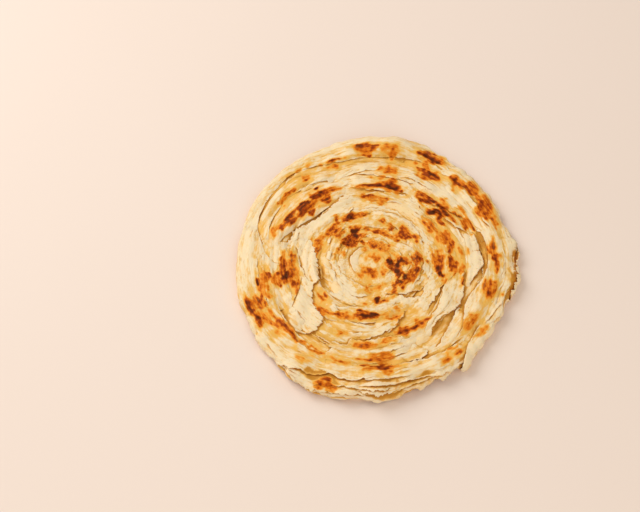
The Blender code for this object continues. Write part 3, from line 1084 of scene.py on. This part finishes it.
# ---- Left folds -----------------------------------------------------------------------------
# The left side: smooth folds of the dough's last turns, a big pale flap that stands over the
# middle, and the rounded shoulder that wraps down to the rim. Their ends are tucked under.
left_folds = [
    # two rounded folds on the far left
    leaf([(-61, 6), (-56, 14), (-50, 20), (-43, 26), (-36, 31), (-28, 38), (-21, 45), (-14, 49)],
         root=[(-70, 10), (-66, 24), (-60, 35), (-52, 44), (-42, 51), (-30, 56), (-18, 57)],
         lift=0.0, crown=1.8, torn=0.2, thick=1.0),
    leaf([(-64, 14), (-63, 24), (-59, 34), (-53, 43), (-45, 49), (-38, 53), (-28, 56), (-20, 57.5)],
         root=[(-72, 14), (-71, 26), (-67, 38), (-60, 49), (-50, 57.5), (-40, 62), (-28, 65),
               (-18, 67)],
         lift=-0.3, reach=3, crown=1.2, torn=0.2, thick=0.5),
    # ragged pale edge that overlooks the crevice
    leaf([(-16.5, 50), (-20, 45), (-23, 41), (-28, 35.5), (-34, 30), (-40, 26), (-46, 21.5), (-51, 15),
          (-56, 10), (-59, 5)],
         root=[(-10, 44), (-16, 36), (-21, 31), (-27, 25), (-32, 19), (-36, 13), (-39, 6), (-42, 0)],
         lift=0.9, torn=1.0, wave=7, pale=0.8),
    # the big pale flap, and the crease across its end
    leaf([(-40, 18), (-37, 8), (-35, -1), (-34.6, -7), (-34.4, -14), (-37, -15.5), (-38, -20),
          (-37.4, -29), (-33, -36.5), (-32, -39), (-34, -42.5), (-37, -46), (-41, -47.5), (-45, -47)],
         root=[(-50, 20), (-48.5, 10), (-47, 2), (-46.5, -6), (-47.5, -14), (-49.5, -20), (-53, -26),
               (-55, -32), (-54.5, -38), (-52, -43), (-49, -47)],
         lift=1.2, reach=8, torn=0.9, wave=4, taper=(0.15, 0.03), pale=2, rumpled=1.3, crown=0.5),
    leaf([(-47.5, -32.5), (-46, -35.5), (-43.5, -38.5), (-41, -41)],
         root=[(-54, -33), (-53.5, -39), (-51, -44), (-45, -46.5)],
         lift=0.8, reach=4, torn=0.4, wave=6, taper=(0.3, 0.35), pale=1.6, thick=0.3, filled=0.6,
         crown=0.3),
    # golden sheet outside the flap
    leaf([(-48, 13), (-46.5, 5), (-45, -4), (-44.6, -12), (-46, -20), (-49, -28), (-52, -35)],
         root=[(-60, 12), (-60, 4), (-58.5, -6), (-57, -14), (-55.5, -22), (-54, -30), (-53, -36)],
         lift=0.1, torn=0.3, thick=0.3, pale=-0.6),
    # sheets between the flap and the shoulder
    leaf([(-61, -22), (-58, -28), (-55.5, -35), (-52, -41), (-48, -46.5), (-45, -50)],
         root=[(-70, -24), (-68, -32), (-65, -40), (-60, -48), (-55, -55), (-50, -60)],
         lift=1.2, torn=0.4),
    leaf([(-57, -33), (-54, -41.5), (-50, -47.5), (-46, -53), (-42, -56.5), (-36, -58.3), (-31, -60)],
         root=[(-68, -36), (-66, -46), (-60, -56), (-54, -62), (-46, -67), (-38, -70), (-30, -72)],
         lift=1.0, torn=0.4),
    # the shoulder that wraps down to the rim
    leaf([(-71, 30), (-70.5, 22), (-68.5, 14), (-65.5, 5), (-61, -0.5), (-57, -3), (-55, -8),
          (-52.5, -15), (-50.5, -21), (-49, -29)],
         root=[(-80, 36), (-84, 24), (-86.5, 10), (-87, 0), (-87, -12), (-86, -22), (-83, -32),
               (-78, -42)],
         lift=-0.1, reach=4, crown=1.3, torn=0.15, thick=0.3),
    # the last fold, round the far rim
    leaf([(-70, 14), (-70.5, 25), (-67, 38), (-62, 47), (-56, 55), (-48, 61.5), (-38, 65.8),
          (-28, 67.5), (-18, 69.5), (-6, 71.8), (6, 72.2), (16, 71.5), (24, 69.5), (32, 66)],
         root=[(-86, 14), (-84, 28), (-78, 44), (-70, 55), (-60, 66), (-50, 75), (-38, 81), (-26, 85.5),
               (-12, 88), (0, 89.5), (12, 89), (22, 87.5), (30, 85), (40, 78)],
         lift=-0.3, reach=3, crown=1.3, torn=0.25, thick=0.25),
]
lay_leaves("left_folds", left_folds, 9000)


# ---- Middle whorl ---------------------------------------------------------------------------
# The tip of the dough rope: small tight turns in the middle of the coil. The press bore on them
# first and left them almost flat.
middle_whorl = [
    leaf([(26.5, -17.5), (23.5, -19.3), (19, -20.6), (14, -22.5), (8, -22), (2, -21)],
         root=[(20, -10), (16, -12), (11, -13), (6, -13), (0, -13)],
         lift=0.8, torn=0.5),
    leaf([(5, 11.5), (10, 12.6), (15, 11.8), (19, 9.5), (21, 6)],
         root=[(3, 5), (7, 6), (11, 6), (14, 4), (15, 1)],
         lift=0.7, torn=0.4),
    leaf([(-20, -9), (-22.5, -3), (-22, 4), (-18, 10), (-12, 13), (-5, 14)],
         root=[(-13, -7), (-15, -3), (-15, 2), (-13, 6), (-9, 9), (-4, 9)],
         lift=0.7, torn=0.5),
    leaf([(-9, -11), (-14, -6), (-16, 0), (-14, 5.5), (-9, 9), (-3, 10)],
         root=[(-6, -6), (-9, -3), (-10, 1), (-9, 4), (-6, 6), (-3, 6)],
         lift=0.7, torn=0.4),
    leaf([(0, 9), (5, 7), (8, 3), (9, -2), (7, -7), (3, -11)],
         root=[(-1, 4), (2, 3), (4, 0), (4, -3), (3, -6), (1, -8)],
         lift=0.6, torn=0.4),
]
lay_leaves("middle_whorl", middle_whorl, 10000)


# ---- Feathers and scraps --------------------------------------------------------------------
# Where the press rubbed the coil, thin slivers of its topmost sheets came loose and stuck again,
# long ones along the turns and small scraps all over. They lie on everything else.
BREAD_REACH = 84.0
TRIES_EACH = 12


def feathers(count, lengths, widths, turns, seed, roughest=0.55, lift=0.28):
    """Narrow leaves strewn along the coil where what lies under them is even enough."""
    draw = np.random.default_rng(seed)
    strewn = []
    for _ in range(count * TRIES_EACH):
        turn = draw.uniform(*turns)
        start = draw.uniform(0.0, 360.0)
        distance = np.interp(turn, np.arange(len(TURN_STARTS)), TURN_STARTS) * BREAD_REACH
        span = min(math.degrees(draw.uniform(*lengths) / max(distance, 6.0)), 200.0)
        slant = draw.uniform(-0.25, 0.25)
        line = coil_line(turn - 0.5, start, start + span, 0.03, int(draw.integers(1e6)), slant)
        said = leaf(
            line, width=draw.uniform(*widths), body=draw.choice(("out", "in")),
            lift=lift * draw.uniform(0.5, 1.5), torn=draw.uniform(0.3, 0.8),
            wave=draw.uniform(5.0, 10.0), thick=0.18, taper=(0.3, 0.3),
            pale=draw.uniform(-0.6, 1.0), reach=3.0,
        )
        edge, root = leaf_lines(said, np.linspace(0.1, 0.9, 24))
        spots = np.vstack((edge, root, 0.5 * (edge + root))).T
        if read_map(laid, *unroll(*spots)).std() < roughest * MM:
            strewn.append(said)
        if len(strewn) == count:
            break
    return strewn


lay_leaves("outer_feathers", feathers(24, (20, 50), (4.0, 7.0), (3.6, 6.2), 71), 12000)
lay_leaves("inner_feathers", feathers(24, (10, 30), (2.5, 5.0), (2.6, 4.4), 73), 14000)
lay_leaves("scraps", feathers(50, (7, 18), (1.6, 3.2), (2.4, 6.4), 79, roughest=0.35, lift=0.2), 16000)


# ---- Griddle browning -----------------------------------------------------------------------
# The bread was turned on a hot griddle: what stood highest browned, in patches along the coil,
# and the oil between the sheets turned the dough golden where it pooled. With them go painted
# shade in creases, gaps and hollows and painted highlight on lips and crests. All are noted on
# the meshes' points as colours, and no piece is added.
GRIDDLE_SPOTS = (
    # x, y, length, width, strength
    (-6, 76, 9, 4.5, 0.95), (10, 74, 7, 3, 0.7), (25, 68, 11, 3.5, 0.8), (34.5, 71, 12, 5, 0.85),
    (32.5, 59.5, 13, 8, 1), (8, 62, 10, 3.5, 0.8), (2.5, 57, 5, 3.5, 0.7), (8, 52.5, 12, 5.5, 1),
    (8, 48.5, 12, 2.5, 0.9), (-7, 49, 10, 2, 0.8), (0, 42.5, 12, 6.5, 1), (28.5, 42.5, 9, 3, 0.9),
    (41, 34.5, 14, 4, 0.9), (53.5, 27.5, 13, 3.5, 0.9), (36.5, 30.5, 12, 5, 1), (31, 26, 7, 4, 0.85),
    (37.5, 18, 8, 4.5, 0.8), (42.5, 13.5, 12, 6, 1), (48.5, 52, 12, 5, 0.95), (56, 47.5, 11, 4, 0.9),
    (64, 33.5, 17, 5, 1), (70, 22.5, 6, 2, 0.7), (68.5, 3.5, 16, 4.5, 0.9), (64.5, -20, 14, 7, 0.88),
    (51, 5, 5, 2.5, 0.7), (34.8, 0.5, 15, 6, 0.95), (43.5, -3, 10, 7, 1), (49, -6, 10, 3, 0.85),
    (38.8, -11.5, 8, 3, 1), (24, 2.5, 9, 7, 1), (6.2, 24, 8, 3, 0.85), (6.5, 19.5, 12, 5, 1),
    (18, 17.5, 13, 5.5, 1), (-3.5, 21, 8, 3, 0.85), (4.5, 8, 9, 5, 0.85), (-3, 3.5, 7, 6, 0.6),
    (8, -0.5, 7, 5, 1.1), (15, 1, 7, 6, 1), (12, -6, 7, 5.5, 1.1), (16.2, -11, 7, 4.5, 1),
    (20.8, -9, 8, 4.5, 1.05), (11.3, -15, 10, 4.5, 1.05), (3, -5.5, 3.5, 2, 0.7),
    (-7.5, -4, 5, 3.5, 0.65), (-5.5, -8, 7, 4.5, 0.7), (-7.5, -15, 4, 2, 0.6), (-0.5, -18, 8, 2, 0.5),
    (-14, 15.5, 15, 8, 1.1), (-21.5, 6, 5, 3, 0.7), (-3.5, 12, 12, 4, 0.9), (-23.5, 27.5, 6, 3, 0.75),
    (-14, 29.5, 14, 4, 0.9), (-25, 21, 10, 5, 0.9), (-34.5, 12, 12, 7, 0.9), (-33, 43.5, 12, 8, 1.1),
    (-27, 47.5, 6, 3, 0.6), (-42, 35, 11, 6, 1.05), (-52, 27.5, 10, 3.5, 0.8),
    (-54.5, 42, 10, 3.5, 0.85), (-60, 20, 6, 3.5, 0.85), (-42, 58.5, 4.5, 3.5, 0.8),
    (-46, 61.5, 9, 2, 0.6), (-28, 66, 11, 3, 0.75), (-54.5, -4.5, 15, 4, 1.15),
    (-48.5, -9, 22, 7, 0.65), (-67, -13.5, 14, 5, 0.9), (-64, -23.5, 8, 3, 0.75),
    (-69.5, -28.5, 13, 6, 0.8), (-64, -38, 15, 7, 0.8), (-58.5, -45.5, 10, 4.5, 0.8),
    (-58.5, -13, 6, 2.5, 0.7), (-49, -49, 15, 2.5, 0.9), (-36, -58.5, 10, 2.5, 0.85),
    (-33.5, -22.5, 10, 3.5, 1.05), (-32.5, -32.5, 11, 3, 0.85), (-22, -36.5, 12, 3.5, 0.9),
    (-9, -36.5, 13, 3.5, 1.1), (0.5, -26.5, 13, 3.5, 0.9), (-8.5, -56, 10, 3, 0.6),
    (-25.5, -65, 11, 2, 0.65), (0, -64.5, 22, 5, 0.8), (2, -70, 16, 5, 0.95), (-30.5, -81, 10, 3.5, 1),
    (13.5, -46, 9, 4.5, 1.1), (24, -41.5, 9, 4, 1), (6.5, -37.5, 6, 1, 0.5), (11.5, -31, 3, 1.5, 0.55),
    (4.5, -54, 4, 2, 0.6), (51.5, -42.5, 9, 2.5, 0.6), (56.5, -45.5, 11, 2, 0.85),
    (43.5, -57, 10, 3, 0.85), (37.5, -63, 7, 2.5, 0.65), (-27, -44, 2, 0.5, 0.45),
    (-22, -48, 2, 0.5, 0.45), (-43, -65, 2, 1, 0.45),
)


# Where oil soaked in and turned the dough golden, and painted shade in the hollows and pockets under
# lifted sheets; below 0, where it stayed dry and pale.
OIL_AND_SHADE_POOLS = (
    # x, y, length, width, strength
    (-31, -11, 18, 8, 1.7), (-30, -24, 12, 6, 0.5), (-46, 56, 26, 8, 0.7), (-10, 68, 26, 4, 0.8),
    (17, -34, 12, 6, 0.7), (36, -44, 24, 7, 0.9), (62, 8, 24, 5, 0.9), (-49, -6, 40, 8, 0.8),
    (-56, -34, 16, 3, 0.9), (-31, -50.5, 24, 5, 1.2), (-10, -52, 16, 3, 1.2), (-33, -76, 24, 5, 2.4),
    (21, -21, 12, 5, 1.0), (31, -29, 10, 4, 0.8), (8, -56, 26, 9, 0.4), (23, -69, 14, 3, 0.7),
    (22, -75.6, 26, 3, 1.2), (51, -42, 14, 4, 0.6), (-69, -28, 56, 9, 0.35), (-50, 34, 44, 14, 0.45),
    (38, 22, 26, 14, 0.5), (-18, -12, 6, 3, 0.8), (1, 3, 12, 10, 0.5), (31, -61, 12, 4, 0.8),
    (-68, 26, 36, 4, 0.5), (77.5, -8, 34, 3, 1.4), (14, 10, 10, 6, 0.3), (8, 79, 60, 6, 0.3),
    (-4, -66, 50, 12, 0.3), (-46, -79, 26, 5, 1.1), (8, -81.5, 36, 4, 1.0), (-51, -37, 16, 5, 0.8),
    (36, -50, 20, 4, 0.6), (44, -8, 26, 3, 0.4), (-20, 17, 40, 10, 0.35), (60, -30, 44, 8, 0.25),
    (0, 55, 26, 10, 0.35), (-21, -18, 28, 13, -1.0), (-28, 54, 20, 9, -0.5), (55, 6, 26, 7, -0.6),
    (-42, -38, 22, 9, -0.6), (-30, 30, 40, 9, -0.4), (-77, 8, 60, 7, -0.5), (20, 36, 30, 8, -0.3),
    (16, -27, 14, 5, -0.6), (40, 45, 24, 8, -0.5), (-14, 0, 10, 8, -0.4), (-2, -45, 30, 8, -0.3),
    (30, -38, 24, 4, -0.5), (80, 0, 50, 5, -0.6), (-20, -84, 50, 5, -0.3), (-50, -62, 40, 8, -0.3),
    (40, -27, 26, 8, -0.3),
)


PATCH_RAGGED = 0.85 * MM
PATCH_MARGIN_LONG = 1.8
PATCH_MARGIN_WIDE = 1.5
POOL_SPREAD = 1.3
FAR_FROM_PATCHES = -20.0
ragged = [axis + PATCH_RAGGED * rumple(1.5 * MM) for axis in (map_u, map_v)]


def inside_patch(x, y, long, wide):
    """How far inside a pointed oval drawn out along the coil each cell lies, in millimetres."""
    u, v = unroll(np.array(x * MM), np.array(y * MM))
    along, across = along_coil((x * MM, y * MM), ragged[0] - u, ragged[1] - v)
    oval = np.abs(2.0 * along / (long * MM)) ** 1.5 + np.abs(2.0 * across / (wide * MM)) ** 1.5
    return (1.0 - oval ** (2.0 / 3.0)) * 0.5 * wide


# Map of the oil pools and of the painted shade in hollows and pockets.
oil_and_shade_map = np.zeros((map_size, map_size))
for x, y, long, wide, strength in OIL_AND_SHADE_POOLS:
    depth = inside_patch(x, y, long * POOL_SPREAD, wide * POOL_SPREAD)
    oil_and_shade_map += strength * ease(depth / (0.35 * wide))
patches = np.full((map_size, map_size), FAR_FROM_PATCHES)
strengths = np.zeros((map_size, map_size))
for x, y, long, wide, strength in GRIDDLE_SPOTS:
    depth = inside_patch(x, y, long + PATCH_MARGIN_LONG, wide + PATCH_MARGIN_WIDE)
    deeper = depth > patches
    patches[deeper] = depth[deeper]
    strengths[deeper] = strength
strengths = soften(strengths, 1.0 * MM)
mottle = rumple(1.0 * MM)
blisters = rumple(0.8 * MM)
# Heights blurred three ways: points below them lie in creases and hollows, where shade is painted;
# points above them are crests, which brown more.
around, nearby, beside = (soften(laid, reach * MM) for reach in (3.0, 1.6, 0.7))
streaks = strands(18.0, 0.7 * MM)
clouds = strands(26.0, 2.6 * MM)
toasting = strands(8.0, 0.7 * MM)
under_patches = rumple(5.0 * MM)


def drawn_out(u, v):
    """From 0 in the middle, where marks are round, to 1 where they are drawn out by the coil."""
    return ease((coil_place(u, v)[1] - 12.0 * MM) / (30.0 * MM))


def golden_and_gap_shade(u, v, height, pale, lip_highlight, halo, side, tone):
    """How golden points are, and how much of the gap colour they take: oil and heat, with painted shade
    in creases, hollows, pleat grooves and on the rim's side, against a painted highlight on lips and
    crests.
    """
    oil_and_shade = read_map(oil_and_shade_map, u, v)
    # crease and shade measure how far a point lies below its neighbours, under lips and in hollows,
    # where shade is painted.
    crease = ease((read_map(beside, u, v) - height - 0.12 * MM) / (0.4 * MM))
    shade = ease((read_map(nearby, u, v) - height - 0.05 * MM) / (1.3 * MM))
    high = ease((height - read_map(around, u, v)) / (1.3 * MM))
    groove = -pleat_height(u, v) / PLEAT_HEIGHT
    # Painted shade turns the dough golden in creases, hollows, pleat grooves and on the rim's side;
    # painted highlight keeps lips and crests pale.
    golden = 0.25 + 0.09 * drawn_out(u, v) + tone + 0.6 * shade + 0.4 * crease + 0.62 * halo
    golden = golden - 0.25 * pale + 0.3 * side + 0.4 * oil_and_shade - 0.22 * high - 0.4 * lip_highlight + 0.2 * groove
    # The gap colour is painted shade: in creases, in hollows and in the deepest pools, kept off the
    # lips.
    gap_shade = 0.7 * crease + 0.35 * shade + 0.8 * np.clip(oil_and_shade - 0.45, 0.0, 1.3) + 0.1 * tone - 0.1
    return golden, np.clip(gap_shade, 0.0, 1.0) * (1.0 - 0.8 * lip_highlight)


def depth_in_patch(u, v, height, spared, side):
    """How deep points lie in a browned patch, in millimetres: high ones more, hollows less."""
    drawn = drawn_out(u, v)
    high = np.clip((height - read_map(around, u, v)) / (1.0 * MM), -1.2, 0.6)
    groove = np.clip(-pleat_height(u, v) / PLEAT_HEIGHT, -0.5, 1.0)
    uneven = (0.9 - 0.5 * drawn) * read_map(mottle, u, v) + 0.6 * drawn * toasting(u, v)
    return read_map(patches, u, v) + uneven + high - 7.0 * side - 6.0 * spared - 0.5 * groove


def browned_by(depth, halo, fine, u, v):
    """How browned points are at that depth in a patch: a toasted ground with charred blisters."""
    drawn = drawn_out(u, v)
    toasted = ease((depth + 1.0) / 1.5)
    blistered = (0.95 - 0.3 * drawn) * read_map(blisters, u, v) + 0.6 * drawn * toasting(u, v)
    charred = ease((0.45 * np.minimum(depth, 2.2) - 0.2 + 0.8 * blistered) / 2.5)
    shares = 0.12 * halo + (0.42 + 0.08 * fine) * toasted + 0.58 * charred * toasted
    return read_map(strengths, u, v) * shares


for note in finished:
    u, v, height = note["u"], note["v"], note["height"]
    spared = np.clip(note["pale"] - 1.0, 0.0, 1.0)
    fine = 0.75 * streaks(u, v) + 0.25 * toasting(u, v) + 0.2 * read_map(mottle, u, v)
    tone = 0.12 * fine + 0.08 * clouds(u, v)
    past_rim = np.hypot(u, v) - flat_start(np.arctan2(v, u)) - rim_edge_along
    # The rim's outer face: it is kept from browning, and its golden tint is painted shade.
    side = ease((past_rim + 2.0 * MM) / (3.0 * MM))
    depth = depth_in_patch(u, v, height, spared, side)
    halo = ease((depth + 4.0) / 4.2)
    pale = np.minimum(note["pale"], 1.0)
    golden, gap_shade = golden_and_gap_shade(u, v, height, pale, note["lip_highlight"], halo, side, tone)
    browned = browned_by(depth, halo, fine, u, v)
    under_browned = 0.75 * ease(0.5 * read_map(under_patches, u, v) + 0.25 * fine)
    for name, shown, below in (
        ("golden", golden, 0.4 + tone),
        ("browned", browned, under_browned),
        ("gap_shade", gap_shade, 0.0),
    ):
        values = np.where(note["hidden"], below, shown).astype(np.float32)
        note["mesh"].attributes.new(name, "FLOAT", "POINT").data.foreach_set("value", values)
